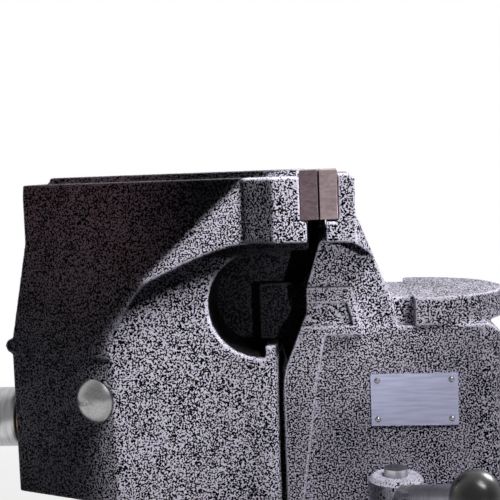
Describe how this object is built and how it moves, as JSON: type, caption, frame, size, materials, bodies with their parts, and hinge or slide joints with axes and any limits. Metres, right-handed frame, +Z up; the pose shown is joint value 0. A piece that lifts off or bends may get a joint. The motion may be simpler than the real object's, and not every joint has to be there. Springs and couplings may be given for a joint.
{
  "type": "swivel bench vise",
  "caption": "Cast bench vise on a swivel base: a front jaw with a slide bar is drawn to a fixed jaw with an anvil by a screw spindle and sliding handle.",
  "frame": {"origin": "on the swivel axis, at the underside of the base", "axes": "+X along the spindle from the handle to the back, +Z up from the bench, jaws across Y"},
  "size_m": [0.4494, 0.3396, 0.2255],
  "materials": {
    "hammered_paint": "black and silver vein hammered enamel on cast iron",
    "ground_steel": "ground",
    "plate_metal": "satin, bare",
    "bright_steel": "polished",
    "black_steel": "black oxide",
    "zinc_steel": "zinc plated",
    "turned_steel": "turned and oiled",
    "bronze": "machined",
    "black_plastic": "moulded"
  },
  "bodies": {
    "base": {"swivel_base": "hammered_paint", "pivot_pin": "turned_steel"},
    "turret": {"static_body": "hammered_paint", "static_jaw_plate": "ground_steel", "static_jaw_screws": "black_steel", "nameplate": "plate_metal", "nameplate_rivets": "bright_steel", "spindle_nut": "bronze", "nut_bolts": "black_steel", "lock_bolts": "zinc_steel", "lock_washers": "zinc_steel"},
    "left_lock": {"left_lock_hub": "hammered_paint", "left_lock_arm": "zinc_steel", "left_lock_knob": "black_plastic"},
    "right_lock": {"right_lock_hub": "hammered_paint", "right_lock_arm": "zinc_steel", "right_lock_knob": "black_plastic"},
    "slide": {"front_jaw": "hammered_paint", "front_jaw_plate": "ground_steel", "front_jaw_screws": "black_steel", "spindle_keeper": "turned_steel", "keeper_screws": "bright_steel", "thrust_washer": "bronze"},
    "spindle": {"spindle": "turned_steel"},
    "handle": {"handle_bar": "zinc_steel", "near_handle_knob": "zinc_steel", "far_handle_knob": "zinc_steel"}
  },
  "joints": [
    {"name": "swivel", "type": "hinge", "parent": "base", "child": "turret", "pos_m": [0, 0, 0.03], "axis": [0, 0, 1], "continuous": true},
    {"name": "left_lock_turn", "type": "hinge", "parent": "turret", "child": "left_lock", "pos_m": [0, -0.068, 0.056], "axis": [0, 0, 1], "range_deg": [0, 55]},
    {"name": "right_lock_turn", "type": "hinge", "parent": "turret", "child": "right_lock", "pos_m": [0, 0.068, 0.056], "axis": [0, 0, 1], "range_deg": [0, 55]},
    {"name": "jaw_slide", "type": "slide", "parent": "turret", "child": "slide", "axis": [-1, 0, 0], "range_m": [0, 0.15]},
    {"name": "spindle_turn", "type": "hinge", "parent": "slide", "child": "spindle", "pos_m": [-0.213, 0, 0.084], "axis": [-1, 0, 0], "range_deg": [0, 10800]},
    {"name": "handle_slide", "type": "slide", "parent": "spindle", "child": "handle", "axis": [0, -1, 0], "range_m": [-0.119, 0.119]}
  ],
  "couplings": [
    {"joint": "jaw_slide", "follows": "spindle_turn", "m_per_rad": 0.00079577}
  ]
}
